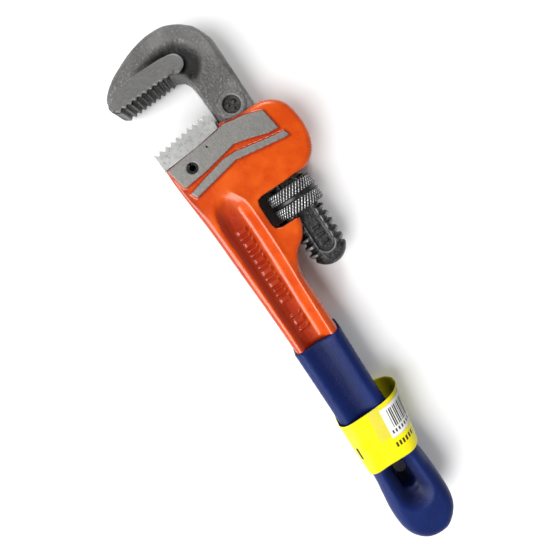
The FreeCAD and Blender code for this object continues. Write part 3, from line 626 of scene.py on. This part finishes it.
def build_grip(material):
    grid = Grid((-155.0, 11.5, -10.4), (-54.5, 40.2, 10.4), 0.46)
    x, y = grid.x, grid.y
    side = distance(x, y, outline(GRIP_RUNS))
    half = np.interp(x, [-160, -50], [8.9, 9.2])
    web = distance(x, y, closed_curve(GRIP_WEB, 4))
    half = half - 1.5 * ramp(-web, -1.4, 7.0)
    dish = slot_distance(x, y, HANG[0] - 3.0, HANG[1] + 1.0, HANG[2], 0.0)
    half = half - 3.4 * ramp(dish, 8.2, 2.0)
    outer = round_max(side[:, :, None], np.abs(grid.z3) - half[:, :, None], 4.6)
    wave = 0.12 * np.sin(y * 0.9) + 0.08 * np.sin(y * 2.3 + 1.0)
    outer = round_max(outer, (x + 56.3 + wave)[:, :, None] + 0.0 * grid.z3, 0.35)
    core = round_max(side[:, :, None] + 1.25, np.abs(grid.z3) - half[:, :, None] + 1.25, 3.2)
    hole = slot_distance(x, y, HANG[0], HANG[1], HANG[2], 2.8)[:, :, None] + 0.0 * grid.z3
    core = np.maximum(core, -(hole - 1.2))
    body = round_max(np.maximum(outer, -core), -hole, 1.3)
    points, quads = surface(grid, body.astype(np.float32))
    px, py, pz = points.T
    # Painted shade in the dish round the hang hole and down the trough of the grip.
    hang_dish_and_trough_shade = ramp(slot_distance(px, py, HANG[0] - 3.0, HANG[1], HANG[2], 0.0), 8.0, 3.0)
    trough = ramp(-distance(px, py, closed_curve(GRIP_WEB, 4)), 1.0, 6.0)
    return make_mesh("dipped_grip", points, quads, material, "frame", ["grip_sleeve"],
                     {"hang_dish_and_trough_shade": np.clip(hang_dish_and_trough_shade + 0.6 * trough * (np.abs(pz) > 4), 0, 1)})


def vinyl_material():
    s = Shader("blue_vinyl", Roughness=0.4, Specular_IOR_Level=0.3)
    grain = s.noise(2300.0, 3.0, 0.6)
    cloud = s.noise(45.0, 3.0)
    base = s.mix(s.band(cloud, 0.3, 0.7), (0.0045, 0.016, 0.100), (0.0065, 0.022, 0.128))
    # Painted shade in the hang hole's dish and the trough.
    base = s.mix(s.math("MULTIPLY", s.layer("hang_dish_and_trough_shade"), 0.85), base, (0.0012, 0.003, 0.03))
    # Lighter grain specks: the vinyl's grain, partly painted glints.
    base = s.mix(s.math("MULTIPLY", s.band(grain, 0.55, 0.72), 0.3), base, (0.03, 0.06, 0.22))
    s.set("Base Color", base)
    s.set("Roughness", s.band(grain, 0.3, 0.7, 0.36, 0.52))
    s.bump([(grain, 0.6, 0.00028), (s.noise(300.0, 3.0), 0.2, 0.0004)])
    return s.material


# ------------------------------------------------------------------ tag

BAND_TOP = [(37.7, 0.0), (37.6, 3.5), (37.2, 7.2), (34.4, 9.4), (28.0, 9.6), (20.5, 9.5),
            (14.5, 8.7), (10.0, 6.4), (7.6, 2.6), (7.35, 0.0)]
BAND_FOOT = [(37.7, 0.0), (37.6, 3.5), (37.2, 7.2), (34.4, 9.4), (28.5, 9.5), (22.5, 9.5),
             (17.2, 9.2), (13.8, 6.6), (12.4, 2.6), (12.15, 0.0)]


def band_loop(half, samples):
    line = catmull(half, 12)
    line = np.vstack([line, line[-2:0:-1] * (1, -1)])
    line = np.vstack([line, line[:1]])
    run = np.concatenate([[0], np.cumsum(np.hypot(*np.diff(line, axis=0).T))])
    at = np.linspace(0, run[-1], samples)
    return np.stack([np.interp(at, run, line[:, k]) for k in (0, 1)], axis=1)


def band_sheet(columns, rows, grow, x_top=-91.5, x_foot=-115.0):
    """Grid of points on the tag's loop, moved outwards by grow."""
    top, foot = band_loop(BAND_TOP, columns), band_loop(BAND_FOOT, columns)
    table = np.zeros((columns, rows, 3))
    for j, t in enumerate(np.linspace(0, 1, rows)):
        loop = top + (foot - top) * t ** 0.85
        along = np.roll(loop[:-1], -1, axis=0) - np.roll(loop[:-1], 1, axis=0)
        along = np.vstack([along, along[:1]])
        along /= np.linalg.norm(along, axis=1)[:, None]
        normal = np.stack([along[:, 1], -along[:, 0]], axis=1)
        ripple = 0.10 * np.sin(loop[:, 0] * 0.5 + 3 * t) * np.sin(2.2 * t + 0.4)
        moved = loop + normal * (grow + ripple)[:, None]
        edge = 0.5 * np.sin(loop[:, 0] * 0.16) * (1 - 2 * t)
        table[:, j, 0] = x_top + (x_foot - x_top) * t + edge * 0.3
        table[:, j, 1:] = moved
    return table


def sheet_faces(columns, rows, first=0, last=None, low=0, high=None):
    last, high = last or columns - 1, high or rows - 1
    faces = [(i * rows + j, i * rows + j + 1, (i + 1) * rows + j + 1, (i + 1) * rows + j)
             for i in range(first, last) for j in range(low, high)]
    return np.array(faces)


def sheet_layers(table):
    """Distance round the loop and the painted shade where the tag turns to the far side, for every point of
    the sheet.
    """
    step = np.linalg.norm(np.diff(table[:, :1], axis=0), axis=2)
    run = np.concatenate([[[0.0]], np.cumsum(step, axis=0)]) + 0.0 * table[:, :, 0]
    # Painted shade where the loop turns away towards the far side.
    turn_away_shade = ramp(table[:, :, 1], 15.5, 8.5)
    return run.ravel(), turn_away_shade.ravel()


def thicken(piece, amount, outwards):
    solid = piece.modifiers.new("card", "SOLIDIFY")
    solid.thickness = amount * MM
    solid.offset = 1.0 if outwards else -1.0


def build_tag(film, paper):
    columns, rows = 241, 41
    table = band_sheet(columns, rows, 0.30)
    run, turn_away_shade = sheet_layers(table)
    band = make_mesh("tag_card", table.reshape(-1, 3), sheet_faces(columns, rows), film,
                     "frame", ["tag_band"], {"run": run, "turn_away_shade": turn_away_shade})
    thicken(band, 0.3, False)
    table = band_sheet(columns, rows, 0.41)
    keep = sheet_faces(columns, rows, 71, 112, 3, 25)
    run, turn_away_shade = sheet_layers(table)
    used, flat = np.unique(keep, return_inverse=True)
    faces = flat.reshape(keep.shape)
    label = make_mesh("tag_sticker", table.reshape(-1, 3)[used], faces, paper, "frame",
                      ["tag_label"], {"run": run[used], "turn_away_shade": turn_away_shade[used]})
    thicken(label, 0.08, True)
    return band, label


def print_mask(s, x_mm, low, high, run, first, last):
    """One where a printed box lies: x between low and high, loop distance first to last."""
    soft = 0.08
    inside = s.math("MULTIPLY", s.band(x_mm, low - soft, low), s.band(x_mm, high, high - soft))
    around = s.math("MULTIPLY", s.band(run, first - soft, first), s.band(run, last, last - soft))
    return s.math("MULTIPLY", inside, around)


def film_material():
    """Yellow card with olive painted shade where it turns away, plain printed bars and a clear tape."""
    s = Shader("yellow_film", Roughness=0.32, Coat_Weight=0.25, Coat_Roughness=0.2)
    split = s.nodes.new("ShaderNodeSeparateXYZ")
    s.links.new(s.place, split.inputs[0])
    x_mm = s.math("SUBTRACT", s.math("MULTIPLY", split.outputs["X"], 1000.0), SHIFT[0])
    run = s.layer("run")
    cloud = s.noise(70.0, 3.0)
    base = s.mix(s.band(cloud, 0.3, 0.7), (0.80, 0.70, 0.004), (0.88, 0.78, 0.010))
    tape = print_mask(s, x_mm, -105.0, -91.0, run, 20.6, 26.5)
    base = s.mix(s.math("MULTIPLY", tape, 0.35), base, (0.50, 0.48, 0.20))
    # Olive painted shade where the card turns away.
    base = s.mix(s.math("MULTIPLY", s.layer("turn_away_shade"), 0.85), base, (0.27, 0.25, 0.006))
    dashes = s.band(s.math("SINE", s.math("MULTIPLY", run, 3.6)), -0.3, -0.2)
    line = s.math("MULTIPLY", dashes, print_mask(s, x_mm, -110.2, -108.2, run, 26.0, 37.0))
    ink = s.math("MAXIMUM", line, print_mask(s, x_mm, -107.5, -102.0, run, 9.0, 10.2))
    s.set("Base Color", s.mix(ink, base, (0.05, 0.045, 0.01)))
    s.set("Roughness", s.band(s.noise(200.0), 0.3, 0.7, 0.26, 0.4))
    s.bump([(s.noise(140.0, 2.0), 0.12, 0.0006), (s.noise(2500.0, 2.0), 0.05, 0.00005)])
    return s.material


def sticker_material():
    """White paper with plain dark bars of mixed widths along the handle."""
    s = Shader("sticker_paper", Roughness=0.6)
    split = s.nodes.new("ShaderNodeSeparateXYZ")
    s.links.new(s.place, split.inputs[0])
    x_mm = s.math("SUBTRACT", s.math("MULTIPLY", split.outputs["X"], 1000.0), SHIFT[0])
    run = s.layer("run")
    bars = s.math("SINE", s.math("MULTIPLY", run, 6.3))
    more = s.math("SINE", s.math("ADD", s.math("MULTIPLY", run, 2.7), 0.8))
    ink = s.band(s.math("ADD", bars, s.math("MULTIPLY", more, 0.7)), 0.0, 0.1)
    ink = s.math("MULTIPLY", ink, print_mask(s, x_mm, -102.4, -94.6, run, 28.6, 39.0))
    dots = s.band(s.math("SINE", s.math("MULTIPLY", run, 3.9)), 0.1, 0.2)
    dots = s.math("MULTIPLY", dots, print_mask(s, x_mm, -104.6, -103.2, run, 26.6, 38.0))
    fibre = s.noise(900.0, 4.0)
    base = s.mix(s.band(fibre, 0.3, 0.7), (0.70, 0.70, 0.67), (0.78, 0.78, 0.76))
    # Painted shade where the sticker turns away.
    base = s.mix(s.math("MULTIPLY", s.layer("turn_away_shade"), 0.6), base, (0.22, 0.22, 0.19))
    s.set("Base Color", s.mix(s.math("MAXIMUM", ink, dots), base, (0.03, 0.03, 0.035)))
    s.set("Roughness", s.band(fibre, 0.3, 0.7, 0.5, 0.65))
    s.bump([(fibre, 0.1, 0.00005)])
    return s.material


# ------------------------------------------------------------------ carried-over CAD nodes

def steel_material(name, low, high, roughness, lines):
    s = Shader(name, Metallic=0.45, Roughness=roughness)
    brushed = s.noise(1.0, 4.0, 0.6, s.stretch(lines))
    cloud = s.noise(120.0, 3.0)
    base = s.mix(s.band(brushed, 0.3, 0.7), low, high)
    s.set("Base Color", s.mix(s.math("MULTIPLY", s.band(cloud, 0.4, 0.7), 0.35), base, low))
    s.set("Roughness", s.band(brushed, 0.3, 0.7, roughness - 0.05, roughness + 0.08))
    s.bump([(brushed, 0.06, 0.00005), (s.noise(900.0, 4.0), 0.08, 0.00006)])
    return s.material


def dress_node(name, material, bevel):
    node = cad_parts[name]
    node.data.materials.clear()
    node.data.materials.append(material)
    if bevel:
        edge = node.modifiers.new("edge", "BEVEL")
        edge.width = bevel * MM
        edge.segments = 2
        edge.limit_method = "ANGLE"
        edge.angle_limit = np.radians(30)


# ------------------------------------------------------------------ stage

def add_light(name, place, aim, size, power, colour=(1.0, 1.0, 1.0)):
    data = bpy.data.lights.new(name, "AREA")
    data.shape = "RECTANGLE"
    data.size, data.size_y = size
    data.energy = power
    data.color = colour
    lamp = bpy.data.objects.new(name, data)
    lamp.location = place
    look = np.array(place) - np.array(aim)
    lamp.rotation_euler = Vector(look).to_track_quat("Z", "Y").to_euler()
    bpy.context.scene.collection.objects.link(lamp)


def shade_sky(tree):
    """Even white surround, darker straight overhead so that level faces keep their colour."""
    nodes, links = tree.nodes, tree.links
    place = nodes.new("ShaderNodeTexCoord")
    split = nodes.new("ShaderNodeSeparateXYZ")
    level = nodes.new("ShaderNodeMapRange")
    level.interpolation_type = "SMOOTHSTEP"
    for key, value in (("From Min", 0.25), ("From Max", 0.97), ("To Min", 0.42), ("To Max", 0.15)):
        level.inputs[key].default_value = value
    links.new(place.outputs["Generated"], split.inputs[0])
    links.new(split.outputs["Z"], level.inputs["Value"])
    background = nodes["Background"]
    background.inputs["Color"].default_value = (1.0, 1.0, 1.0, 1.0)
    links.new(level.outputs["Result"], background.inputs["Strength"])


def build_stage():
    size = 3.0
    mesh = bpy.data.meshes.new("floor")
    mesh.from_pydata([(-size, -size, 0), (size, -size, 0), (size, size, 0), (-size, size, 0)], [],
                     [(0, 1, 2, 3)])
    floor = bpy.data.objects.new("floor", mesh)
    floor.location.z = -0.0004
    bpy.context.scene.collection.objects.link(floor)
    s = Shader("floor_white", Roughness=0.9, Specular_IOR_Level=0.1)
    s.set("Base Color", s.mix(s.noise(3.0), (0.94, 0.94, 0.94), (0.97, 0.97, 0.97)))
    mesh.materials.append(s.material)
    world = bpy.data.worlds.new("studio")
    bpy.context.scene.world = world
    world.use_nodes = True
    shade_sky(world.node_tree)
    add_light("key", (-0.10, 0.56, 0.64), (0.0, 0.0, 0.0), (0.75, 0.75), 9.4)
    add_light("side", (0.60, -0.25, 0.45), (0.0, 0.0, 0.0), (0.20, 0.45), 1.8)
    bpy.context.scene.view_settings.view_transform = "Standard"
    bpy.context.scene.view_settings.look = "Medium High Contrast"


def build_camera():
    """Straight down over the housing, near enough to show the perspective of a close shot."""
    data = bpy.data.cameras.new("camera")
    data.sensor_width = 36.0
    data.lens = 25.4
    data.shift_x = 0.047
    data.shift_y = -0.1373
    data.clip_start = 0.01
    camera = bpy.data.objects.new("camera", data)
    camera.location = (0.03767, 0.00289, 0.1852)
    camera.rotation_euler = (0.0, 0.0, np.radians(-123.0))
    bpy.context.scene.collection.objects.link(camera)
    bpy.context.scene.camera = camera


# ------------------------------------------------------------------ the object

build_casting(paint_material())
build_hook(forging_material())
build_heel(heel_material())
build_nut(nut_material())
build_grip(vinyl_material())
tag_band, tag_sticker = build_tag(film_material(), sticker_material())
dress_node("heel_jaw_pin", steel_material("dark_pin", (0.02, 0.02, 0.02), (0.06, 0.06, 0.06),
                                          0.3, (900.0, 900.0, 300.0)), 0.15)
SPRING = steel_material("spring_steel", (0.14, 0.14, 0.15), (0.30, 0.30, 0.30), 0.3,
                        (500.0, 2000.0, 2000.0))
dress_node("flat_spring", SPRING, 0.0)
dress_node("coil_spring", SPRING, 0.0)
build_stage()
build_camera()
